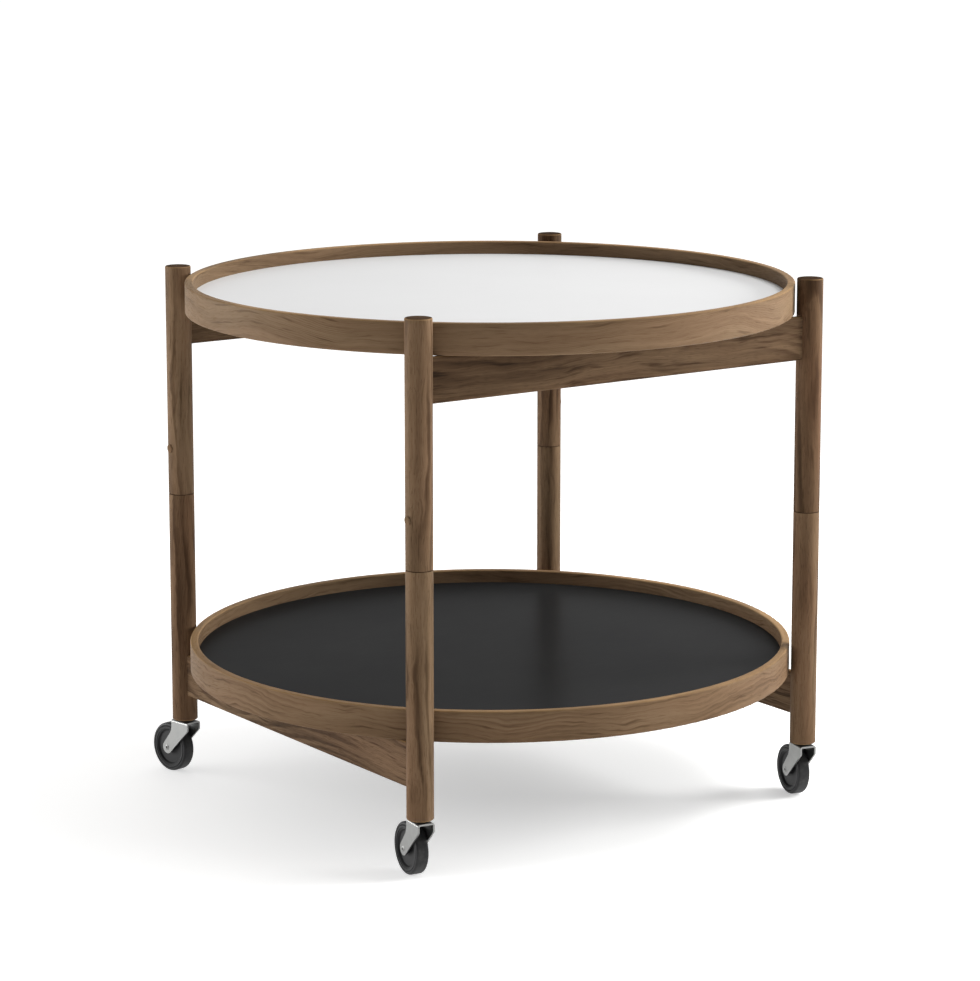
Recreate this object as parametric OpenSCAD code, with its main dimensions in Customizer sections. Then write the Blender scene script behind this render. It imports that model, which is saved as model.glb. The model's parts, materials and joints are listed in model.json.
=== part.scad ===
// Round two-tray serving trolley with a folding frame on four casters.
// Millimetres, +Z up. The origin lies on the floor under the middle of the trays.
// +X runs along the upper rails, +Y along the lower rails. Front is -Y, left is -X.

/* [Trays] */
// Outer diameter of both trays
tray_d = 600; // [500:5:700]
// Height of the bent rim
rim_h = 30; // [24:0.5:40]
// Thickness of the bent rim
rim_t = 8; // [6:0.5:12]
// Rounding of the rim's edges
rim_edge = 1.5; // [0.5:0.1:2.5]
// Thickness of the plate, which lies at mid height so that the tray can be turned over
plate_t = 3; // [2.5:0.1:5]
// Depth of the rebate on each side of the plate's edge
plate_rebate = 0.5; // [0.2:0.1:0.8]
// How far the plate's tongue reaches into the rim
groove_depth = 3; // [2:0.1:4]
// Gap between a tray and each leg
tray_gap = 2; // [1:0.1:5]

/* [Legs] */
// Diameter of the legs
leg_d = 25.6; // [24:0.1:32]
// Length of the lower half of a leg
lower_leg_len = 235; // [200:1:300]
// Length of the upper half of a leg
upper_leg_len = 231; // [200:1:300]
// Angle from the upper rails to the diagonal through the legs
frame_angle = 43.2; // [40:0.1:50]
// Rounding at the top and at the foot of a leg
leg_edge = 1.2; // [0.5:0.1:3]
// Rounding of the two edges that meet at the seam
seam_edge = 0.4; // [0.1:0.1:1]
// How far the legs stand above the upper tray
leg_above_tray = 6.7; // [1:0.1:30]

/* [Rails] */
// Height of the rails
rail_h = 43; // [36:0.5:55]
// Thickness of the rails
rail_t = 8; // [7:0.1:11]
// Rounding of the rails' long edges
rail_edge = 2.5; // [0.5:0.1:3.2]
// Height of the lower rails above the foot of the leg
lower_rail_lift = 26.4; // [24:0.1:80]
// Thickness of the stub tenons
tenon_t = 4; // [3:0.1:6]
// Length of the stub tenons
tenon_len = 9; // [5:0.1:10]
// How far a tenon stays back from the rail's upper and lower edge
tenon_shoulder = 6.5; // [6:0.5:10]

/* [Fold pivots] */
// Diameter of the spigot that joins the halves of a leg
spigot_d = 12; // [8:0.5:14]
// Length of the spigot in the upper half
spigot_up = 58; // [53:1:80]
// Length of the spigot in the lower half
spigot_down = 50; // [30:1:70]
// Height of the retaining pin above the seam
pin_lift = 46.6; // [20:0.1:48]
// Diameter of the retaining pin's shank
pin_d = 5; // [3:0.1:6]
// Diameter of the retaining pin's head
pin_head_d = 8.7; // [7:0.1:10]
// How far the domed head stands out of the leg
pin_head_rise = 1.2; // [0.6:0.1:2]
// Depth of the spigot's groove
pin_groove = 1.2; // [0.8:0.1:2]

/* [Casters] */
// Diameter of the wheels
wheel_d = 50; // [40:1:60]
// Thickness of the tyre
tyre_t = 5.5; // [4:0.1:7]
// Distance from the swivel axis back to the axle
caster_trail = 19; // [17:0.5:23]
// Width of the fork over its cheeks
fork_w = 17.2; // [15:0.1:20]
// Thickness of the fork's sheet
fork_sheet = 1.7; // [1:0.1:2]
// Outer bend radius of the fork
fork_bend = 2.4; // [2.1:0.1:3.5]
// Reach of the fork's head in front of the swivel axis
fork_front = 12.8; // [10:0.1:18]
// Reach of the fork's head behind the swivel axis
fork_back = 12; // [8:0.5:14]
// Depth of the fork's front edge before it slants back
fork_front_drop = 8.6; // [6:0.2:12]
// Radius of the knee at the end of the front edge
fork_knee_r = 4; // [1:0.5:6]
// Radius of the cheek round the axle
cheek_r = 6.5; // [5:0.1:8]
// Slope of the cheek's back edge
cheek_slope = 51; // [44:1:52]
// Radius of the bend in the cheek's back edge
cheek_fillet = 14; // [6:1:16]
// How much wider the rivet heads at the ends of the axle are than the axle
axle_head = 1.8; // [1:0.1:3]
// Room between the wheel and the fork's head
wheel_top_gap = 4.2; // [3:0.1:8]
// Diameter of the axle
axle_d = 4; // [3:0.1:6]
// Diameter of the stem
stem_d = 7; // [5:0.1:8]
// Length of the stem above the foot of the leg
stem_len = 27; // [20:0.5:28]
// Outer diameter of the socket sleeve
sleeve_d = 10; // [9.6:0.1:12]
// Depth of the socket sleeve in the leg
sleeve_len = 30; // [29:0.5:30]
// Diameter of the sleeve's collar
collar_d = 11.6; // [11:0.1:16]
// Thickness of the sleeve's collar
collar_t = 1; // [0.6:0.1:2]
// Diameter of the washer under the collar
washer_d = 10.4; // [9:0.1:16]
// Thickness of the washer under the collar
washer_t = 0.5; // [0.4:0.1:1.5]
// Swivel of the front left caster
yaw_front_left = -8; // [-180:1:180]
// Swivel of the front right caster
yaw_front_right = -13; // [-180:1:180]
// Swivel of the back left caster
yaw_back_left = 11; // [-180:1:180]
// Swivel of the back right caster
yaw_back_right = -6; // [-180:1:180]

/* [Clearances] */
// Radial clearance of a turning fit
turn_gap = 0.05; // [0.02:0.01:0.1]
// Clearance of a glued or pressed joint
glue_gap = 0.05; // [0.02:0.01:0.1]
// Gap between the halves of a leg
seam_gap = 0.5; // [0.2:0.1:0.8]
// Gap between washer and collar
swivel_gap = 0.1; // [0.05:0.05:0.3]
// Room between the wheel and each cheek
wheel_side_gap = 0.5; // [0.3:0.1:1]
// Room between the hub and each cheek
hub_side_gap = 0.2; // [0.1:0.05:0.3]

/* [Hidden] */
$fn = 64;
tray_fn = 240;
wheel_fn = 96;
dome_fn = 180;
edge_fn = 48;
past = 1; // how far a cut runs past the surface that it opens

// Colours
walnut = "#7a5f4a";
walnut_dark = "#6a4f3c";
plate_white = "#f2f2ef";
plate_black = "#2b2b2b";
zinc = "#b9b9b6";
steel = "#8f9194";
black_plastic = "#232323";
tyre_black = "#303030";

// Corners: x side, y side, caster yaw
front_left = [-1, -1, yaw_front_left];
front_right = [1, -1, yaw_front_right];
back_left = [-1, 1, yaw_back_left];
back_right = [1, 1, yaw_back_right];

// Plan
tray_r = tray_d / 2;
leg_r = leg_d / 2;
leg_circle_r = tray_r + tray_gap + leg_r;
span_x = 2 * leg_circle_r * cos(frame_angle);
span_y = 2 * leg_circle_r * sin(frame_angle);

// Levels, from the floor up
wheel_r = wheel_d / 2;
head_under = wheel_d + wheel_top_gap;
head_top = head_under + fork_sheet;
washer_top = head_top + washer_t;
collar_under = washer_top + swivel_gap;
foot = collar_under + collar_t;
seam_low = foot + lower_leg_len;
seam_high = seam_low + seam_gap;
leg_top = seam_high + upper_leg_len;
pin_z = seam_high + pin_lift;
upper_tray_z = leg_top - leg_above_tray - rim_h;
upper_rail_z = upper_tray_z - rail_h;
lower_rail_z = foot + lower_rail_lift;
lower_tray_z = lower_rail_z + rail_h;

// Pivot and pin
spigot_r = spigot_d / 2;
spigot_chamfer = 1;
spigot_end_gap = 1;
pin_r = pin_d / 2;
pin_head_r = pin_head_d / 2;
pin_tip_gap = 0.3;
pin_tip = spigot_r - pin_groove + pin_tip_gap;
head_rim = 0.4; // straight edge of the head above its seat's rim
head_sink = 0.2; // how far the head's seat lies below the leg's surface at its rim
head_seat = sqrt(leg_r * leg_r - pin_head_r * pin_head_r) - head_sink;

// Plate and groove
inner_r = tray_r - rim_t;
plate_side_gap = 0.2;
tongue_t = plate_t - 2 * plate_rebate;

// Caster
fork_inner = fork_w - 2 * fork_sheet;
wheel_w = fork_inner - 2 * wheel_side_gap;
hub_w = fork_inner - 2 * hub_side_gap;
axle_r = axle_d / 2;
axle_head_r = axle_r + axle_head / 2;
axle_head_t = 0.9;
axle_dimple_r = 1.7;
axle_dimple_d = 0.6;
stem_r = stem_d / 2;
stem_flange = 1.2; // how far the stem's riveted head stands out under the fork
stem_head_r = stem_r + stem_flange;
stem_head_t = 1.4;
stem_chamfer = 0.6;
stem_head_chamfer = 0.4;
sleeve_r = sleeve_d / 2;
ring_w = 1.2;
ring_below_tip = 5;
ring_z = foot + stem_len - ring_below_tip;
ring_gap = 0.1;
ring_bite = 0.5; // how far the snap ring stands out of the stem
ring_depth = 0.8; // how deep the snap ring sits in the stem
ring_turn = 320;
tyre_inner_r = wheel_r - tyre_t;
tyre_shoulder = 2.2;
tyre_line_w = 0.9;
tyre_line_place = 0.4; // where the line runs, as a share of the tyre's thickness
tyre_rib = 0.8;
tyre_rib_w = wheel_w / 3;
core_rim_t = 1.3;
core_step = 0.6; // how far the core's rim stays back from the tyre's side
core_rim_w = wheel_w - 2 * core_step;
core_bevel = 1.4;
web_w = 8;
web_swell = 0.6; // how much thicker the web is at the hub, on each side
hub_wall = 3.2;
hub_r = axle_r + hub_wall;

// Points of an arc from angle a0 to angle a1
function arc(centre, r, a0, a1, steps = 10) =
    [for (i = [0 : steps]) let (a = a0 + (a1 - a0) * i / steps) centre + r * [cos(a), sin(a)]];

module at_leg(c) {
    translate([c.x * span_x / 2, c.y * span_y / 2, 0]) children();
}

// Caster frame: the swivel axis is Z, the wheel trails along +Y and turns round X
module at_caster(c) {
    at_leg(c) rotate([0, 0, c.z]) children();
}

module at_axle(c) {
    at_caster(c) translate([0, caster_trail, wheel_r]) rotate([0, 90, 0]) children();
}

// Rounded rectangle with its lower edge's middle at the origin
module rounded_rect(w, h, r) {
    translate([-w / 2 + r, 0]) square([w - 2 * r, h]);
    translate([-w / 2, r]) square([w, h - 2 * r]);
    for (x = [-w / 2 + r, w / 2 - r], y = [r, h - r]) translate([x, y]) circle(r);
}

// Turned bar of radius r from z0 to z1, with its lower and upper edge rounded
module turned(r, z0, z1, low_edge, high_edge) {
    rotate_extrude() {
        translate([0, z0]) square([r - low_edge, low_edge + past]);
        translate([0, z0 + low_edge]) square([r, z1 - z0 - low_edge - high_edge]);
        translate([0, z1 - high_edge - past]) square([r - high_edge, high_edge + past]);
        intersection() {
            union() {
                translate([r - low_edge, z0 + low_edge]) circle(low_edge);
                translate([r - high_edge, z1 - high_edge]) circle(high_edge);
            }
            translate([0, z0]) square([r, z1 - z0]);
        }
    }
}

// Cylinder with a chamfer at both ends
module chamfered(r, z0, z1, c) {
    rotate_extrude()
        polygon([[0, z0], [r - c, z0], [r, z0 + c], [r, z1 - c], [r - c, z1], [0, z1]]);
}

module tube(outer, inner, z0, z1) {
    translate([0, 0, z0]) difference() {
        cylinder(r = outer, h = z1 - z0);
        translate([0, 0, -past]) cylinder(r = inner, h = z1 - z0 + 2 * past);
    }
}

// Mortise on the +X side of a leg, for a rail whose lower edge is at z
module mortise(z) {
    translate([leg_r - tenon_len - glue_gap, -tenon_t / 2 - glue_gap, z + tenon_shoulder - glue_gap])
        cube([tenon_len + past, tenon_t + 2 * glue_gap, rail_h - 2 * tenon_shoulder + 2 * glue_gap]);
}

module upper_leg(c) {
    color(walnut) at_leg(c) difference() {
        turned(leg_r, seam_high, leg_top, seam_edge, leg_edge);
        translate([0, 0, seam_high - past])
            cylinder(r = spigot_r + turn_gap, h = spigot_up - seam_gap + spigot_end_gap + past);
        rotate([0, 0, c.x > 0 ? 180 : 0]) mortise(upper_rail_z);
        translate([0, 0, pin_z]) rotate([0, 90 * c.x, 0]) {
            cylinder(r = pin_r + glue_gap, h = leg_r + past);
            translate([0, 0, head_seat - glue_gap])
                cylinder(r = pin_head_r + glue_gap, h = leg_r - head_seat + past);
        }
    }
}

module lower_leg(c) {
    color(walnut) at_leg(c) difference() {
        turned(leg_r, foot, seam_low, leg_edge, seam_edge);
        translate([0, 0, seam_low - spigot_down - spigot_end_gap])
            cylinder(r = spigot_r + glue_gap, h = spigot_down + spigot_end_gap + past);
        translate([0, 0, foot - past])
            cylinder(r = sleeve_r + glue_gap, h = sleeve_len + glue_gap + past);
        rotate([0, 0, -90 * c.y]) mortise(lower_rail_z);
    }
}

module pivot_spigot(c) {
    color(steel) at_leg(c) difference() {
        chamfered(spigot_r, seam_low - spigot_down, seam_low + spigot_up, spigot_chamfer);
        groove_half = pin_r + pin_tip_gap;
        tube(spigot_r + past, spigot_r - pin_groove, pin_z - groove_half, pin_z + groove_half);
    }
}

// Peg with a domed head, along +X from the leg's axis
module retaining_pin() {
    head_z = leg_r + pin_head_rise;
    dome_h = pin_head_rise - head_rim;
    dome_r = (pin_head_r * pin_head_r + dome_h * dome_h) / (2 * dome_h);
    rotate([0, 90, 0]) rotate_extrude() {
        translate([0, pin_tip]) square([pin_r, head_seat - pin_tip + past / 2]);
        translate([0, head_seat]) square([pin_head_r, leg_r + head_rim - head_seat]);
        intersection() {
            translate([0, head_z - dome_r]) circle(dome_r, $fn = dome_fn);
            translate([0, leg_r]) square([pin_head_r, pin_head_rise]);
        }
    }
}

module retaining_pins(pair) {
    color(walnut_dark) for (c = pair)
        at_leg(c) translate([0, 0, pin_z]) rotate([0, 0, c.x > 0 ? 0 : 180]) retaining_pin();
}

// Rail along X between two legs that stand span apart, with its lower edge at z
module rail(span, z) {
    translate([0, 0, z]) {
        difference() {
            translate([-span / 2, 0, 0]) rotate([90, 0, 90])
                linear_extrude(span) rounded_rect(rail_t, rail_h, rail_edge);
            for (side = [-1, 1]) translate([side * span / 2, 0, -past])
                cylinder(r = leg_r + glue_gap, h = rail_h + 2 * past);
        }
        reach = span - 2 * (leg_r - tenon_len);
        translate([-reach / 2, -tenon_t / 2, tenon_shoulder])
            cube([reach, tenon_t, rail_h - 2 * tenon_shoulder]);
    }
}

module upper_rail(side) {
    color(walnut_dark) translate([0, side * span_y / 2, 0]) rail(span_x, upper_rail_z);
}

module lower_rail(side) {
    color(walnut_dark) translate([side * span_x / 2, 0, 0]) rotate([0, 0, 90]) rail(span_y, lower_rail_z);
}

module tray_rim(z) {
    color(walnut) translate([0, 0, z]) rotate_extrude($fn = tray_fn) difference() {
        translate([tray_r - rim_t / 2, 0]) rounded_rect(rim_t, rim_h, rim_edge, $fn = edge_fn);
        translate([inner_r - past, (rim_h - tongue_t) / 2 - glue_gap])
            square([groove_depth + past, tongue_t + 2 * glue_gap]);
    }
}

module tray_plate(z, shade) {
    color(shade) translate([0, 0, z + rim_h / 2]) {
        translate([0, 0, -plate_t / 2])
            cylinder(r = inner_r - plate_side_gap, h = plate_t, $fn = tray_fn);
        translate([0, 0, -tongue_t / 2])
            cylinder(r = inner_r + groove_depth - glue_gap, h = tongue_t, $fn = tray_fn);
    }
}

module caster_sleeve(c) {
    color(black_plastic) at_leg(c) difference() {
        union() {
            tube(sleeve_r, stem_r + turn_gap, foot - glue_gap, foot + sleeve_len);
            tube(collar_d / 2, stem_r + turn_gap, collar_under, foot);
        }
        tube(stem_r + ring_bite + ring_gap, past, ring_z - ring_gap, ring_z + ring_w + ring_gap);
    }
}

module caster_stem(c) {
    color(steel) at_leg(c) difference() {
        union() {
            chamfered(stem_r, head_under - stem_head_t / 2, foot + stem_len, stem_chamfer);
            chamfered(stem_head_r, head_under - stem_head_t, head_under, stem_head_chamfer);
        }
        tube(stem_r + past, stem_r - ring_depth, ring_z, ring_z + ring_w);
    }
}

module caster_ring(c) {
    color(steel) at_caster(c) translate([0, 0, ring_z + glue_gap]) rotate_extrude(angle = ring_turn)
        translate([stem_r - ring_depth + glue_gap, 0])
            square([ring_depth + ring_bite - glue_gap, ring_w - 2 * glue_gap]);
}

module caster_washer(c) {
    color(steel) at_leg(c) tube(washer_d / 2, stem_r + turn_gap, head_top, washer_top);
}

// Section of the bent sheet across the wheel, with its legs open downwards
module fork_section() {
    bend_in = fork_bend - fork_sheet;
    difference() {
        union() {
            translate([-fork_w / 2, 0]) square([fork_w, head_top - fork_bend]);
            translate([-fork_w / 2 + fork_bend, 0]) square([fork_w - 2 * fork_bend, head_top]);
            for (side = [-1, 1]) translate([side * (fork_w / 2 - fork_bend), head_top - fork_bend])
                circle(fork_bend);
        }
        translate([-fork_inner / 2, -past]) square([fork_inner, head_under - bend_in + past]);
        translate([-fork_inner / 2 + bend_in, 0]) square([fork_inner - 2 * bend_in, head_under]);
        for (side = [-1, 1]) translate([side * (fork_inner / 2 - bend_in), head_under - bend_in])
            circle(bend_in);
    }
}

// Side view of the fork: a head over the swivel axis and an arm that slants back to the axle
module fork_outline() {
    axle = [caster_trail, wheel_r];
    front_knee = [-fork_front, head_top - fork_front_drop];
    to_axle = axle - front_knee;
    front_fall = atan2(-to_axle.y, to_axle.x) + asin(cheek_r / norm(to_axle));
    knee_tangent = fork_knee_r * tan((90 - front_fall) / 2);
    back_touch = axle + cheek_r * [cos(90 - cheek_slope), sin(90 - cheek_slope)];
    back_knee_z = back_touch.y + (back_touch.x - fork_back) * tan(cheek_slope);
    turn = 90 - cheek_slope;
    tangent = cheek_fillet * tan(turn / 2);
    polygon(concat(
        [[-fork_front, head_top]],
        arc(front_knee + [fork_knee_r, knee_tangent], fork_knee_r, 180, 270 - front_fall),
        arc(axle, cheek_r, -90 - front_fall, 90 - cheek_slope, 24),
        arc([fork_back + cheek_fillet, back_knee_z + tangent], cheek_fillet, 180 + turn, 180, 8),
        [[fork_back, head_top]]
    ));
}

module caster_fork(c) {
    reach = caster_trail + cheek_r + past;
    color(zinc) at_caster(c) difference() {
        intersection() {
            translate([0, reach, 0]) rotate([90, 0, 0])
                linear_extrude(reach + fork_front + past) fork_section();
            translate([-fork_w / 2 - past, 0, 0]) rotate([90, 0, 90])
                linear_extrude(fork_w + 2 * past) fork_outline();
        }
        translate([0, 0, head_under - past]) cylinder(r = stem_r + glue_gap, h = fork_sheet + 2 * past);
        translate([-fork_w / 2 - past, caster_trail, wheel_r]) rotate([0, 90, 0])
            cylinder(r = axle_r + glue_gap, h = fork_w + 2 * past);
    }
}

module caster_axle(c) {
    half = fork_w / 2;
    dome_r = (axle_head_r * axle_head_r + axle_head_t * axle_head_t) / (2 * axle_head_t);
    color(steel) at_axle(c) {
        translate([0, 0, -half]) cylinder(r = axle_r, h = fork_w);
        for (side = [0, 1]) mirror([0, 0, side]) rotate_extrude() difference() {
            intersection() {
                translate([0, half + axle_head_t - dome_r]) circle(dome_r, $fn = wheel_fn);
                translate([0, half]) square([axle_head_r, axle_head_t]);
            }
            translate([0, half + axle_head_t - axle_dimple_d + axle_dimple_r]) circle(axle_dimple_r);
        }
    }
}

module wheel_core(c) {
    rim_out = tyre_inner_r - glue_gap;
    rim_in = rim_out - core_rim_t;
    color(black_plastic) at_axle(c) rotate_extrude() difference() {
        union() {
            translate([0, -hub_w / 2]) square([hub_r, hub_w]);
            polygon([
                [0, -web_w / 2 - web_swell], [rim_in - core_bevel, -web_w / 2], [rim_in, -core_rim_w / 2],
                [rim_out, -core_rim_w / 2], [rim_out, core_rim_w / 2], [rim_in, core_rim_w / 2],
                [rim_in - core_bevel, web_w / 2], [0, web_w / 2 + web_swell]
            ]);
            translate([rim_out - past, -tyre_rib_w / 2 + glue_gap])
                square([tyre_rib + past, tyre_rib_w - 2 * glue_gap]);
        }
        translate([0, -hub_w]) square([axle_r + turn_gap, 2 * hub_w]);
    }
}

module wheel_tyre(c) {
    line_r = tyre_inner_r + tyre_t * tyre_line_place;
    color(tyre_black) at_axle(c) rotate_extrude($fn = wheel_fn) difference() {
        union() {
            translate([tyre_inner_r, -wheel_w / 2]) square([tyre_t - tyre_shoulder, wheel_w]);
            translate([tyre_inner_r, -wheel_w / 2 + tyre_shoulder])
                square([tyre_t, wheel_w - 2 * tyre_shoulder]);
            for (side = [-1, 1])
                translate([wheel_r - tyre_shoulder, side * (wheel_w / 2 - tyre_shoulder)])
                    circle(tyre_shoulder);
        }
        translate([tyre_inner_r - past, -tyre_rib_w / 2]) square([past + tyre_rib + glue_gap, tyre_rib_w]);
        for (side = [-1, 1]) translate([line_r, side * wheel_w / 2]) rotate(45)
            square(tyre_line_w, center = true);
    }
}

upper_leg(front_left);  // upper_leg_front_left
upper_leg(front_right);  // upper_leg_front_right
upper_leg(back_left);  // upper_leg_back_left
upper_leg(back_right);  // upper_leg_back_right
lower_leg(front_left);  // lower_leg_front_left
lower_leg(front_right);  // lower_leg_front_right
lower_leg(back_left);  // lower_leg_back_left
lower_leg(back_right);  // lower_leg_back_right
pivot_spigot(front_left);  // pivot_spigot_front_left
pivot_spigot(front_right);  // pivot_spigot_front_right
pivot_spigot(back_left);  // pivot_spigot_back_left
pivot_spigot(back_right);  // pivot_spigot_back_right
retaining_pins([front_left, front_right]);  // retaining_pins_front
retaining_pins([back_left, back_right]);  // retaining_pins_back
upper_rail(-1);  // upper_rail_front
upper_rail(1);  // upper_rail_back
lower_rail(-1);  // lower_rail_left
lower_rail(1);  // lower_rail_right
tray_rim(upper_tray_z);  // tray_rim_upper
tray_plate(upper_tray_z, plate_white);  // tray_plate_upper
tray_rim(lower_tray_z);  // tray_rim_lower
tray_plate(lower_tray_z, plate_black);  // tray_plate_lower
caster_sleeve(front_left);  // caster_sleeve_front_left
caster_sleeve(front_right);  // caster_sleeve_front_right
caster_sleeve(back_left);  // caster_sleeve_back_left
caster_sleeve(back_right);  // caster_sleeve_back_right
caster_stem(front_left);  // caster_stem_front_left
caster_stem(front_right);  // caster_stem_front_right
caster_stem(back_left);  // caster_stem_back_left
caster_stem(back_right);  // caster_stem_back_right
caster_ring(front_left);  // caster_ring_front_left
caster_ring(front_right);  // caster_ring_front_right
caster_ring(back_left);  // caster_ring_back_left
caster_ring(back_right);  // caster_ring_back_right
caster_washer(front_left);  // caster_washer_front_left
caster_washer(front_right);  // caster_washer_front_right
caster_washer(back_left);  // caster_washer_back_left
caster_washer(back_right);  // caster_washer_back_right
caster_fork(front_left);  // caster_fork_front_left
caster_fork(front_right);  // caster_fork_front_right
caster_fork(back_left);  // caster_fork_back_left
caster_fork(back_right);  // caster_fork_back_right
caster_axle(front_left);  // caster_axle_front_left
caster_axle(front_right);  // caster_axle_front_right
caster_axle(back_left);  // caster_axle_back_left
caster_axle(back_right);  // caster_axle_back_right
wheel_core(front_left);  // wheel_core_front_left
wheel_core(front_right);  // wheel_core_front_right
wheel_core(back_left);  // wheel_core_back_left
wheel_core(back_right);  // wheel_core_back_right
wheel_tyre(front_left);  // wheel_tyre_front_left
wheel_tyre(front_right);  // wheel_tyre_front_right
wheel_tyre(back_left);  // wheel_tyre_back_left
wheel_tyre(back_right);  // wheel_tyre_back_right
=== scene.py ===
import json
import math

import bpy
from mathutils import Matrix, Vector


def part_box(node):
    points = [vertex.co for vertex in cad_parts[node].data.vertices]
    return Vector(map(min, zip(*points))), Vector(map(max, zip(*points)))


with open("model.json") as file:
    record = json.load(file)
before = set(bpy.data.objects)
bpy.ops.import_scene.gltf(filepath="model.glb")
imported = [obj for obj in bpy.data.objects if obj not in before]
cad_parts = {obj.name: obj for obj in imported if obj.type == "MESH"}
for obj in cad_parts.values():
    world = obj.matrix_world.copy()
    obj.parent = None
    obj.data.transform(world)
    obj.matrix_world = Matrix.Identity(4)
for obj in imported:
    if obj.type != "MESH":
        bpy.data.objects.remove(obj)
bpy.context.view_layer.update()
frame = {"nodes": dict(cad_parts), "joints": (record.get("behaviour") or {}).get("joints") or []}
corners = ("front_left", "front_right", "back_left", "back_right")
print("frame loaded:", len(frame["nodes"]), "nodes")


def paint(red, green, blue):  # a screen colour, 0 to 255 each, in linear light
    shares = (red / 255, green / 255, blue / 255)
    return tuple(c / 12.92 if c <= 0.04045 else ((c + 0.055) / 1.055) ** 2.4 for c in shares)


class Wire:  # a socket that can be used in a Python expression
    def __init__(self, sheet, out):
        self.sheet = sheet
        self.out = out

    def __add__(self, other):
        return self.sheet.sum("ADD", self, other)

    def __radd__(self, other):
        return self.sheet.sum("ADD", other, self)

    def __sub__(self, other):
        return self.sheet.sum("SUBTRACT", self, other)

    def __rsub__(self, other):
        return self.sheet.sum("SUBTRACT", other, self)

    def __mul__(self, other):
        return self.sheet.sum("MULTIPLY", self, other)

    def __rmul__(self, other):
        return self.sheet.sum("MULTIPLY", other, self)

    def __truediv__(self, other):
        return self.sheet.sum("DIVIDE", self, other)

    def __rtruediv__(self, other):
        return self.sheet.sum("DIVIDE", other, self)

    def __pow__(self, other):
        return self.sheet.sum("POWER", self, other)

    def __rpow__(self, other):
        return self.sheet.sum("POWER", other, self)

    def __abs__(self):
        return self.sheet.sum("ABSOLUTE", self)


class Sheet:  # a node tree, filled from nothing
    def __init__(self, tree):
        self.tree = tree
        tree.nodes.clear()

    def add(self, kind, settings, values, output=0):
        made = self.tree.nodes.new("ShaderNode" + kind)
        for key, value in settings.items():
            if key == "stops":
                stops = made.color_ramp.elements
                stops[0].position, stops[0].color = value[0][0], (*value[0][1], 1)
                stops[1].position, stops[1].color = value[-1][0], (*value[-1][1], 1)
                for place, colour in value[1:-1]:
                    stops.new(place).color = (*colour, 1)
            else:
                setattr(made, key, value)
        for key, value in values.items():
            if isinstance(value, Wire):
                self.tree.links.new(value.out, made.inputs[key])
            else:
                made.inputs[key].default_value = value
        return Wire(self, made.outputs[output]) if made.outputs else None

    def sum(self, operation, *values):
        return self.add("Math", {"operation": operation}, dict(enumerate(values)))

    def spot(self):  # a place on the piece, in metres
        return self.add("TexCoord", {}, {}, "Object")

    def facing(self):  # the way the surface faces, on the piece
        return self.add("TexCoord", {}, {}, "Normal")

    def split(self, vector):
        return [self.add("SeparateXYZ", {}, {"Vector": vector}, n) for n in range(3)]

    def join(self, x, y, z):
        return self.add("CombineXYZ", {}, {"X": x, "Y": y, "Z": z})

    def stretch(self, vector, scale, shift=(0, 0, 0)):
        return self.add("VectorMath", {"operation": "MULTIPLY_ADD"}, {0: vector, 1: scale, 2: shift})

    def dot(self, vector, other):
        return self.add("VectorMath", {"operation": "DOT_PRODUCT"}, {0: vector, 1: other}, "Value")

    def length(self, vector):
        return self.add("VectorMath", {"operation": "LENGTH"}, {0: vector}, "Value")

    def radius(self, centre, axis):  # how far a place is from an axis through a centre
        out = self.add("VectorMath", {"operation": "SUBTRACT"}, {0: self.spot(), 1: centre})
        side = self.dot(out, axis)
        across = self.length(out)
        return (across * across - side * side) ** 0.5

    def noise(self, vector, detail, rough=0.5):
        values = {"Vector": vector, "Scale": 1.0, "Detail": detail, "Roughness": rough}
        return self.add("TexNoise", {"noise_dimensions": "3D"}, values, "Fac")

    def between(self, value, low, high):  # 0 at low, 1 at high and smooth between them
        settings = {"interpolation_type": "SMOOTHSTEP"}
        return self.add("MapRange", settings, {"Value": value, "From Min": low, "From Max": high})

    def ramp(self, value, stops):
        return self.add("ValToRGB", {"stops": stops}, {"Fac": value}, "Color")

    def mix(self, share, one, other, blend="MIX"):
        one = one if isinstance(one, Wire) else (*one, 1)
        other = other if isinstance(other, Wire) else (*other, 1)
        settings = {"data_type": "RGBA", "blend_type": blend}
        return self.add("Mix", settings, {0: share, 6: one, 7: other}, 2)

    def bump(self, height, strength, reach):
        return self.add("Bump", {}, {"Height": height, "Strength": strength, "Distance": reach})


class Finish(Sheet):  # one procedural material
    def __init__(self, name):
        self.material = bpy.data.materials.new(name)
        self.material.use_nodes = True
        super().__init__(self.material.node_tree)

    def close(self, values):
        shell = self.add("BsdfPrincipled", {}, values)
        self.add("OutputMaterial", {}, {"Surface": shell})
        return self.material


def dress(material, *names):
    for name in names:
        for slot in frame["nodes"][name].material_slots:
            slot.material = material


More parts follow.
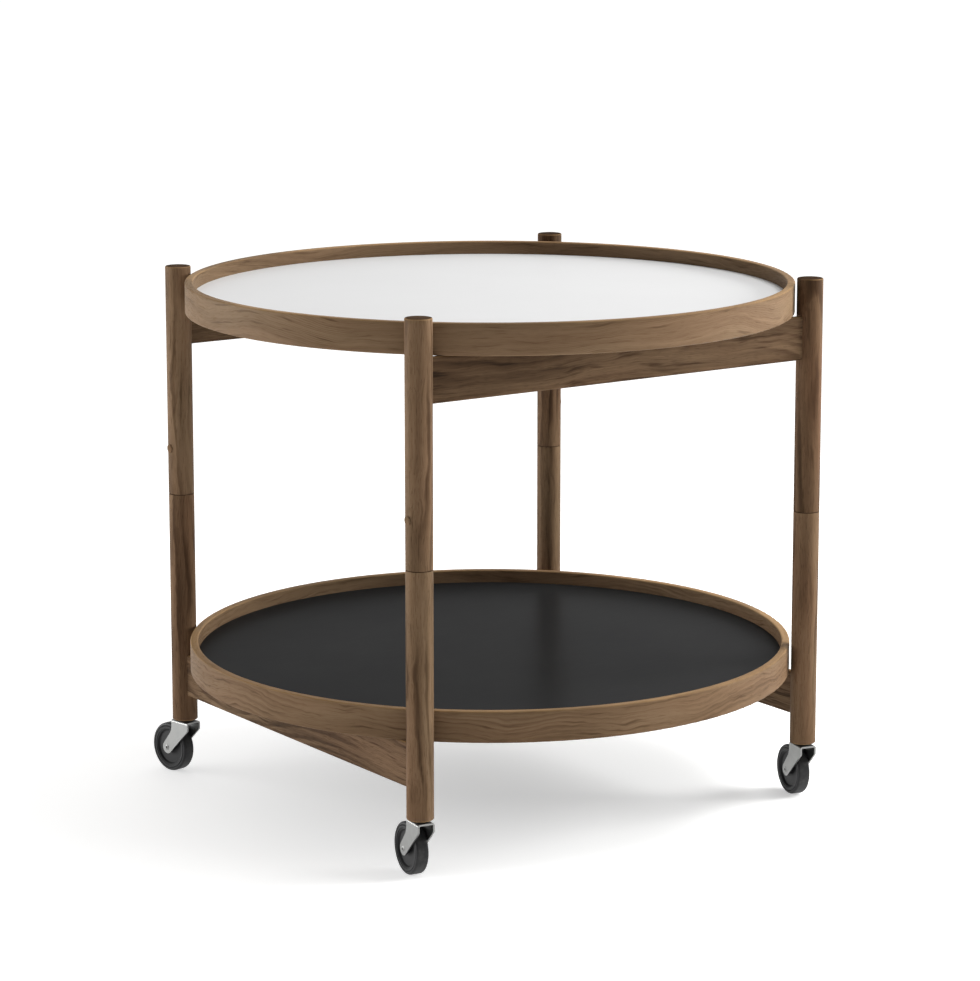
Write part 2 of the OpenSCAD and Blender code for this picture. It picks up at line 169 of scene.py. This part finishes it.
# What all the walnut has in common
walnutLook = {
    "stops": [
        (0.0, paint(44, 33, 23)),
        (0.3, paint(79, 62, 45)),
        (0.55, paint(112, 92, 70)),
        (0.8, paint(140, 118, 93)),
        (1.0, paint(166, 144, 117)),
    ],
    "pore": paint(36, 25, 16),
    "endGrain": paint(48, 31, 19),
    "red": (1.02, 0.78, 0.74),  # what red wood does to the colour under it
    # a lighter golden colour on the edges: wear with a painted highlight
    "wornHighlight": paint(190, 152, 104),
    "wornHighlightShare": 0.45,
    "jointShare": 0.8,
    "waves": {  # how many in a metre along the grain and across it, and how much detail
        "sway": (5, 5, 1), "curl": (26, 45, 2), "wander": (2.4, 8, 1.5), "swell": (3.6, 6, 1),
        "flutter": (16, 90, 2), "patches": (7, 30, 1), "clouds": (5, 30, 2), "streaks": (6, 260, 3),
        "veins": (22, 330, 2), "fibres": (30, 1500, 1.5), "pores": (110, 1700, 0), "warmth": (3, 22, 2),
    },
    "spans": {  # where each mask starts and where it is full
        "patches": (0.38, 0.62), "veins": (0.55, 0.75), "pores": (0.61, 0.7), "warmth": (0.2, 0.7),
        "ends": (0.75, 0.95), "rubbedHighlight": (-0.3, 0.15),
    },
    "bands": (0.31, 1.2),  # how many in a ring of growth and in a metre along the grain
    "linePeak": 12.2,  # brings the dark line of late wood in each ring up to 1
    "bend": 0.3,  # the radius that a rim's strip is bent to
    "joint": (0.00255, 0.0006),  # how far from a strip's end the joint's line starts, and where it is full
    "roughness": 0.55,
    "rougher": {"pores": 0.25, "tone": -0.08, "ends": 0.4, "rubbedHighlight": -0.06},
    "relief": {"fibres": 0.5, "streaks": 0.5, "pores": -1},
    "bump": (0.25, 0.0002),
    "sheen": 0.03,
}


def layGrain(finish, lay, cut, x, y, z):  # the place along, across and behind the grain, and its axis
    if lay == "upright":
        return z, x, y, (0, 0, 1)
    if lay == "alongX":
        return x, z, y, (1, 0, 0)
    if lay == "alongY":
        return y, z, x, (0, 1, 0)
    turn = math.radians(180 - cut["joint"])  # a strip bent to a ring, whose ends meet at the joint
    turnedX = x * math.cos(turn) - y * math.sin(turn)
    turnedY = x * math.sin(turn) + y * math.cos(turn)
    angle = finish.sum("ARCTAN2", turnedY, turnedX)
    out = (x * x + y * y) ** 0.5
    return angle * walnutLook["bend"], z, out - walnutLook["bend"], None


def wave(finish, pattern, place, shift, rough=0.5):
    along, across, detail = walnutLook["waves"][pattern]
    return finish.noise(finish.stretch(place, (along, across, across), shift), detail, rough)


def mask(finish, pattern, value):
    return finish.between(value, *walnutLook["spans"][pattern])


def figure(finish, cut, along, across, depth):  # what the wood's growth and the saw leave on a board
    look = walnutLook
    seed = cut["seed"]
    straight = finish.join(along, across, depth)
    sway = wave(finish, "sway", straight, (seed, 6, 1)) - 0.5
    curl = wave(finish, "curl", straight, (4, seed, 6)) - 0.5
    across = across + sway * cut["sway"] + curl * cut["curl"]
    grain = finish.join(along, across, depth)
    wander = wave(finish, "wander", grain, (seed, 3, 7)) - 0.5
    swell = wave(finish, "swell", grain, (11, seed, 2)) - 0.5
    flutter = wave(finish, "flutter", grain, (5, seed, 1)) - 0.5
    heartA = across - cut["heart"][0] + along * cut["tilt"] + wander * cut["wander"]
    heartB = depth - cut["heart"][1] + swell * cut["swell"]
    rings = (heartA * heartA + heartB * heartB) ** 0.5 / cut["ring"] + flutter * cut["flutter"]
    part = finish.sum("FRACT", rings)
    patches = mask(finish, "patches", wave(finish, "patches", grain, (6, 2, seed)))
    late = part ** 4 * (1 - part) * look["linePeak"] * patches
    perRing, perMetre = look["bands"]
    bands = finish.noise(finish.join(rings * perRing, along * perMetre, seed), 2) - 0.5
    clouds = wave(finish, "clouds", grain, (seed, 9, 4)) - 0.5
    streaks = wave(finish, "streaks", grain, (seed, seed, 2), 0.6) - 0.5
    veins = mask(finish, "veins", wave(finish, "veins", grain, (7, seed, 3)))
    fibres = wave(finish, "fibres", grain, (0, 0, 0)) - 0.5
    pores = mask(finish, "pores", wave(finish, "pores", grain, (1, 4, seed)))
    warmth = mask(finish, "warmth", wave(finish, "warmth", grain, (2, seed, 8)))
    tone = cut["tone"] + bands * cut["bands"] + clouds * cut["clouds"] - late * cut["lines"]
    tone = tone + streaks * cut["streaks"] + fibres * cut["fibres"] - veins * cut["veins"]
    return tone, warmth, clouds, streaks, fibres, pores


def walnut(name, lay, cut):
    finish = Finish(name)
    look = walnutLook
    x, y, z = finish.split(finish.spot())
    along, across, depth, axis = layGrain(finish, lay, cut, x, y, z)
    tone, warmth, clouds, streaks, fibres, pores = figure(finish, cut, along, across, depth)
    colour = finish.ramp(tone, look["stops"])
    colour = finish.mix(warmth * cut["red"], colour, look["red"], "MULTIPLY")
    colour = finish.mix(pores * cut["pores"], colour, look["pore"])
    rougher = look["rougher"]
    roughness = look["roughness"] + pores * rougher["pores"] + tone * rougher["tone"]
    if axis:
        ends = mask(finish, "ends", abs(finish.dot(finish.facing(), axis)))
        colour = finish.mix(ends * cut["ends"], colour, look["endGrain"])
        roughness = roughness + ends * rougher["ends"]
    else:
        ends = 0
        stripEnd = math.pi * look["bend"]
        start, full = look["joint"]
        joint = finish.between(abs(along), stripEnd - start, stripEnd - full)
        colour = finish.mix(joint * look["jointShare"], colour, look["pore"])
    for low, high in cut["edges"]:  # edges painted lighter: partly wear from hands and trays, partly a painted highlight where light catches the edge
        # a painted highlight mixed with wear, in a thin band at each edge's height, lighter and smoother
        rubbedHighlight = finish.between(z, low, high) * mask(finish, "rubbedHighlight", clouds) * (1 - ends)
        colour = finish.mix(rubbedHighlight * look["wornHighlightShare"], colour, look["wornHighlight"])
        roughness = roughness + rubbedHighlight * rougher["rubbedHighlight"]
    relief = look["relief"]
    height = fibres * relief["fibres"] + streaks * relief["streaks"] + pores * relief["pores"]
    return finish.close({
        "Base Color": colour,
        "Roughness": roughness,
        "Normal": finish.bump(height, *look["bump"]),
        "Specular IOR Level": look["sheen"],
    })


def lowHigh(name):  # a piece's lowest and highest point
    low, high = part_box(name)
    return low[2], high[2]


legTop = lowHigh("upper_leg_front_left")[1]
footEnd = lowHigh("lower_leg_front_left")[0]
upperRim = lowHigh("tray_rim_upper")
lowerRim = lowHigh("tray_rim_lower")
soft = 0.0016  # how far from an edge the painted highlight and the wear reach

# How each piece is cut. heart is how far off the tree's middle lay, across the piece and behind it.
legCut = {
    "heart": (0.33, 0.12), "tilt": 0.02, "wander": 0.04, "swell": 0.03, "ring": 0.008, "flutter": 0.6,
    "lines": 0.25, "bands": 0.62, "clouds": 0.42, "streaks": 0.24, "fibres": 0.18, "pores": 0.25,
    "veins": 0.12, "sway": 0.02, "curl": 0.007, "ends": 0.75, "tone": 0.6,
}
railCut = {
    "tilt": 0.016, "wander": 0.022, "swell": 0.03, "ring": 0.0026, "flutter": 0.7,
    "lines": 0.2, "bands": 0.38, "clouds": 0.4, "streaks": 0.34, "fibres": 0.2, "pores": 0.25,
    "veins": 0.26, "sway": 0.02, "curl": 0.006, "ends": 0.6, "red": 0.4,
}
rimCut = {
    "tilt": 0.008, "wander": 0.02, "swell": 0.02, "ring": 0.0016, "flutter": 0.5,
    "bands": 0.26, "clouds": 0.26, "streaks": 0.24, "fibres": 0.1, "pores": 0.12, "veins": 0.18,
    "sway": 0.05, "red": 0.3,
}
pinCut = {
    "heart": (0.2, 0.4), "tilt": 0.1, "wander": 0.01, "swell": 0.0, "ring": 0.002, "flutter": 0.5,
    "lines": 0.15, "bands": 0.3, "clouds": 0.2, "streaks": 0.3, "fibres": 0.2, "pores": 0.25,
    "veins": 0.0, "sway": 0.0, "curl": 0.0, "ends": 0.0, "tone": 0.57, "seed": 3.3, "red": 0.5,
    "edges": [],
}
cuts = {
    "upperLegs": {**legCut, "edges": [(legTop - soft, legTop)]},
    "lowerLegs": {**legCut, "heart": (0.36, -0.1), "bands": 0.45, "edges": [(footEnd + soft, footEnd)]},
    "upperRim": {**rimCut, "heart": (0.6, -0.05), "tone": 0.61, "seed": 2.4, "joint": -42.3,
                 "lines": 0.08, "curl": 0.007, "edges": [(upperRim[1] - soft, upperRim[1])]},
    "lowerRim": {**rimCut, "heart": (0.09, -0.04), "tone": 0.59, "seed": 9.2, "joint": -43.8,
                 "lines": 0.1, "curl": 0.011, "ring": 0.0038, "edges": [(lowerRim[1] - soft, lowerRim[1])]},
}

# Each half of a leg is turned from its own stick: how much lighter it is, how red, where its grain starts
sticks = {
    "upper_leg_front_left": (0.12, 0.4, 1.7), "upper_leg_front_right": (-0.14, 0.9, 2.9),
    "upper_leg_back_left": (-0.11, 0.5, 4.7), "upper_leg_back_right": (-0.15, 0.8, 5.6),
    "lower_leg_front_left": (-0.07, 0.5, 8.3), "lower_leg_front_right": (-0.01, 0.75, 9.4),
    "lower_leg_back_left": (-0.07, 0.6, 3.8), "lower_leg_back_right": (-0.1, 0.8, 6.1),
}
for name, (lighter, red, seed) in sticks.items():
    cut = cuts["upperLegs" if name.startswith("upper") else "lowerLegs"]
    cut = {**cut, "tone": cut["tone"] + lighter, "red": red, "seed": seed}
    dress(walnut("walnut_" + name, "upright", cut), name)

# Each rail is sawn from its own board: how light it is, where its heart lies, where its grain starts
boards = {
    "upper_rail_front": (0.4, (0.458, -0.176), 4.1), "upper_rail_back": (0.42, (0.46, 0.178), 7.3),
    "lower_rail_left": (0.47, (0.112, -0.19), 6.6), "lower_rail_right": (0.45, (0.11, 0.192), 2.2),
}
for name, (tone, heart, seed) in boards.items():
    lay = "alongX" if name.startswith("upper") else "alongY"
    high = lowHigh(name)[1]
    cut = {**railCut, "tone": tone, "heart": heart, "seed": seed, "edges": [(high - soft, high)]}
    dress(walnut("walnut_" + name, lay, cut), name)
dress(walnut("walnutUpperRim", "bent", cuts["upperRim"]), "tray_rim_upper")
dress(walnut("walnutLowerRim", "bent", cuts["lowerRim"]), "tray_rim_lower")
dress(walnut("walnutPins", "alongX", pinCut), "retaining_pins_front", "retaining_pins_back")
print("walnut dressed")

laminateLook = {  # waves in a metre, and what they do to the roughness
    "cloud": (7, 7, 7), "speck": (900, 900, 900), "rubs": (30, 320, 30),
    "cloudRough": 0.06, "rubsRough": 0.04, "bump": (0.05, 0.0001),
}
plates = {
    "white": {
        "colour": paint(221, 221, 221), "shade": paint(217, 217, 217), "roughness": 0.4, "sheen": 0.08,
    },
    "black": {
        "colour": paint(39, 39, 39), "shade": paint(35, 35, 36), "roughness": 0.32, "sheen": 0.006,
    },
}


def laminate(name, look):
    finish = Finish(name)
    spot = finish.spot()
    cloud = finish.noise(finish.stretch(spot, laminateLook["cloud"]), 3)
    speck = finish.noise(finish.stretch(spot, laminateLook["speck"]), 2)
    rubs = finish.noise(finish.stretch(spot, laminateLook["rubs"]), 2)
    roughness = look["roughness"] + (cloud - 0.5) * laminateLook["cloudRough"]
    return finish.close({
        "Base Color": finish.mix(cloud, look["colour"], look["shade"]),
        "Roughness": roughness + (rubs - 0.5) * laminateLook["rubsRough"],
        "Normal": finish.bump(speck, *laminateLook["bump"]),
        "Specular IOR Level": look["sheen"],
    })


dress(laminate("whiteLaminate", plates["white"]), "tray_plate_upper")
dress(laminate("blackLaminate", plates["black"]), "tray_plate_lower")
print("plates dressed")

metalLook = {
    "zinc": paint(146, 146, 144),
    "steel": paint(180, 181, 182),
    "shade": paint(130, 131, 130),
    "zincRoughness": 0.42,
    "steelRoughness": 0.28,
    "rivetRoughness": 0.55,
    "cloud": (90, 90, 90),
    "fine": (2500, 2500, 600),
    "cloudRough": 0.18,
    "fineRough": 0.08,
    "bump": (0.12, 0.00005),
    "dimpleShade": paint(60, 59, 58),
    "dimpleShadeRadius": (0.0009, 0.0015),  # painted shade in the middle of a rivet's head, where its dimple is, and where it has faded out
}
wheelLook = {
    "core": paint(25, 25, 26),
    "tyre": paint(34, 34, 35),
    "dust": paint(96, 94, 91),
    "speck": (1400, 1400, 1400),
    "smear": (160, 160, 160),
    "treadRadius": (0.0242, 0.025),  # dust starts on the shoulder and is full on the tread
    "treadDust": (0.35, 0.75, 0.2),  # from which smear to which, and how much of it
    "sideDust": (0.55, 0.85, 0.06),
    "roughness": 0.5,
    "dustRough": 0.3,
    "speckRough": 0.1,
    "bump": (0.12, 0.0001),
    "sheen": 0.25,
}
sleeveLook = {
    "colour": paint(32, 32, 33),
    "shade": paint(46, 46, 47),
    "speck": (600, 600, 600),
    "roughness": 0.4,
    "speckRough": 0.2,
    "bump": (0.05, 0.0001),
}


def metalFinish(name, colour, roughness, dimpleShade=None):
    finish = Finish(name)
    look = metalLook
    spot = finish.spot()
    cloud = finish.noise(finish.stretch(spot, look["cloud"]), 3)
    fine = finish.noise(finish.stretch(spot, look["fine"]), 2)
    colour = finish.mix(cloud, colour, look["shade"])
    if dimpleShade:  # the centre and axis of a rivet, round which the shade of its dimple is painted
        outside = finish.between(finish.radius(*dimpleShade), *look["dimpleShadeRadius"])
        colour = finish.mix(outside, look["dimpleShade"], colour)
    return finish.close({
        "Base Color": colour,
        "Metallic": 1.0,
        "Roughness": roughness + (cloud - 0.5) * look["cloudRough"] + (fine - 0.5) * look["fineRough"],
        "Normal": finish.bump(fine, *look["bump"]),
    })


def wheelFinish(name, colour, hub, axis):
    finish = Finish(name)
    look = wheelLook
    spot = finish.spot()
    speck = finish.noise(finish.stretch(spot, look["speck"]), 2)
    smear = finish.noise(finish.stretch(spot, look["smear"]), 3)
    tread = finish.between(finish.radius(hub, axis), *look["treadRadius"])
    low, high, treadShare = look["treadDust"]
    dust = tread * finish.between(smear, low, high) * treadShare
    low, high, sideShare = look["sideDust"]
    dust = dust + finish.between(smear, low, high) * sideShare
    return finish.close({
        "Base Color": finish.mix(dust, colour, look["dust"]),
        "Roughness": look["roughness"] + dust * look["dustRough"] + (speck - 0.5) * look["speckRough"],
        "Normal": finish.bump(speck, *look["bump"]),
        "Specular IOR Level": look["sheen"],
    })


def sleeveFinish():
    finish = Finish("sleevePlastic")
    look = sleeveLook
    speck = finish.noise(finish.stretch(finish.spot(), look["speck"]), 2)
    return finish.close({
        "Base Color": finish.mix(speck, look["colour"], look["shade"]),
        "Roughness": speck * look["speckRough"] + look["roughness"],
        "Normal": finish.bump(speck, *look["bump"]),
    })


zinc = metalFinish("brightZinc", metalLook["zinc"], metalLook["zincRoughness"])
steel = metalFinish("drawnSteel", metalLook["steel"], metalLook["steelRoughness"])
sleeve = sleeveFinish()
spins = {joint["name"]: joint for joint in frame["joints"]}
for corner in corners:
    spin = spins["wheel_spin_" + corner]
    hub, axis = tuple(spin["pos_m"]), tuple(spin["axis"])
    dress(wheelFinish("tyre_" + corner, wheelLook["tyre"], hub, axis), "wheel_tyre_" + corner)
    dress(wheelFinish("core_" + corner, wheelLook["core"], hub, axis), "wheel_core_" + corner)
    dress(zinc, "caster_fork_" + corner, "caster_stem_" + corner, "caster_washer_" + corner)
    # each rivet gets painted shade in the dimple of its head
    rivet = metalFinish("rivet_" + corner, metalLook["zinc"], metalLook["rivetRoughness"], (hub, axis))
    dress(rivet, "caster_axle_" + corner)
    dress(steel, "caster_ring_" + corner, "pivot_spigot_" + corner)
    dress(sleeve, "caster_sleeve_" + corner)
print("casters dressed")

studio = {
    "floorSize": 40.0,
    "floorTone": paint(230, 230, 229),
    "floorShade": 0.985,
    "floorCloud": (1.5, 1.5, 1.5),
    "floorRoughness": (0.75, 0.1),  # the least, and how much the clouds add
    "glow": [(0.05, 0.37), (0.4, 0.58), (3.0, 0.66)],  # the floor's painted glow, which fills its shadows and lights the table from below, and is dimmer under the table as a painted shadow: how far from the centre, in metres, and how bright
    "glowCentre": (0.13, -0.02, 0.0),
    "roomTurn": 0.8,  # the room goes from front to back light between minus this and this
    "front": 0.08,
    "back": 0.8,
    "backdrop": 1.02,
    "lampTarget": (0, 0, 0.25),
    "lamps": {  # degrees to the right of the view, height, distance, size and power
        "overhead": (90, 3.0, 1.4, (1.6, 1.6), 56.0),
        "rightSoftbox": (100, 0.95, 2.3, (1.2, 1.0), 62.0),
        "leftSoftbox": (-97, 0.3, 2.6, (1.8, 0.5), 43.0),
    },
    "viewPlace": (-1.9116, -2.7258, 0.9728),
    "viewAzimuth": 35.0435,
    "viewPitch": 10.3685,
    "lens": 124.964,
    "sensor": 36,
    "shift": -0.06,
}


def makeFloor():
    edge = studio["floorSize"] / 2
    places = [(-edge, -edge, 0), (edge, -edge, 0), (edge, edge, 0), (-edge, edge, 0)]
    mesh = bpy.data.meshes.new("floor")
    mesh.from_pydata(places, [], [(0, 1, 2, 3)])
    floor = bpy.data.objects.new("floor", mesh)
    bpy.context.scene.collection.objects.link(floor)
    finish = Finish("floorPaper")
    cloud = finish.noise(finish.stretch(finish.spot(), studio["floorCloud"]), 2)
    tone = studio["floorTone"]
    shade = tuple(c * studio["floorShade"] for c in tone)
    smooth, rougher = studio["floorRoughness"]
    # the floor glows with painted light, and the dimmer glow near the centre paints the table's shadow
    radius = finish.radius(studio["glowCentre"], (0, 0, 1))
    (near, dim), (middle, fair), (far, bright) = studio["glow"]
    glow = finish.between(radius, near, middle) * (fair - dim) + dim
    glow = finish.between(radius, middle, far) * (bright - fair) + glow
    mesh.materials.append(finish.close({
        "Base Color": finish.mix(cloud, tone, shade),
        "Roughness": cloud * rougher + smooth,
        "Emission Color": finish.join(glow, glow, glow),
        "Emission Strength": 1.0,
    }))


def aim(piece, place, target):
    piece.location = place
    piece.rotation_euler = (Vector(target) - Vector(place)).to_track_quat("-Z", "Y").to_euler()


def makeLight(name, turn, height, distance, size, power):  # a softbox that faces the table
    azimuth = math.radians(studio["viewAzimuth"] + 180 - turn)
    place = (math.sin(azimuth) * distance, math.cos(azimuth) * distance, height)
    lamp = bpy.data.lights.new(name, "AREA")
    lamp.shape = "RECTANGLE"
    lamp.size, lamp.size_y = size
    lamp.energy = power
    holder = bpy.data.objects.new(name, lamp)
    bpy.context.scene.collection.objects.link(holder)
    aim(holder, place, studio["lampTarget"])


def makeRoom():  # brighter behind the table than in front of it
    world = bpy.data.worlds.new("studio")
    bpy.context.scene.world = world
    world.use_nodes = True
    room = Sheet(world.node_tree)
    azimuth = math.radians(studio["viewAzimuth"])
    ahead = (math.sin(azimuth), math.cos(azimuth), 0)
    turned = room.dot(room.add("TexCoord", {}, {}, "Generated"), ahead)
    turn = studio["roomTurn"]
    reach = {"From Min": -turn, "From Max": turn, "To Min": studio["front"], "To Max": studio["back"]}
    strength = room.add("MapRange", {}, {"Value": turned, **reach})
    glow = room.add("Background", {}, {"Color": (1, 1, 1, 1), "Strength": strength})
    white = room.add("Background", {}, {"Color": (1, 1, 1, 1), "Strength": studio["backdrop"]})
    seen = room.add("LightPath", {}, {}, "Is Camera Ray")
    both = room.add("MixShader", {}, {0: seen, 1: glow, 2: white})
    room.add("OutputWorld", {}, {"Surface": both})


def makeCamera():
    lens = bpy.data.cameras.new("camera")
    lens.lens = studio["lens"]
    lens.sensor_width = studio["sensor"]
    lens.shift_y = studio["shift"]
    camera = bpy.data.objects.new("camera", lens)
    bpy.context.scene.collection.objects.link(camera)
    azimuth, pitch = math.radians(studio["viewAzimuth"]), math.radians(studio["viewPitch"])
    flat = math.cos(pitch)
    ahead = Vector((math.sin(azimuth) * flat, math.cos(azimuth) * flat, -math.sin(pitch)))
    place = Vector(studio["viewPlace"])
    aim(camera, place, place + ahead)
    bpy.context.scene.camera = camera


makeFloor()
makeRoom()
for lampName, lampFacts in studio["lamps"].items():
    makeLight(lampName, *lampFacts)
makeCamera()
bpy.context.scene.view_settings.view_transform = "Standard"
print("floor, light and camera made")
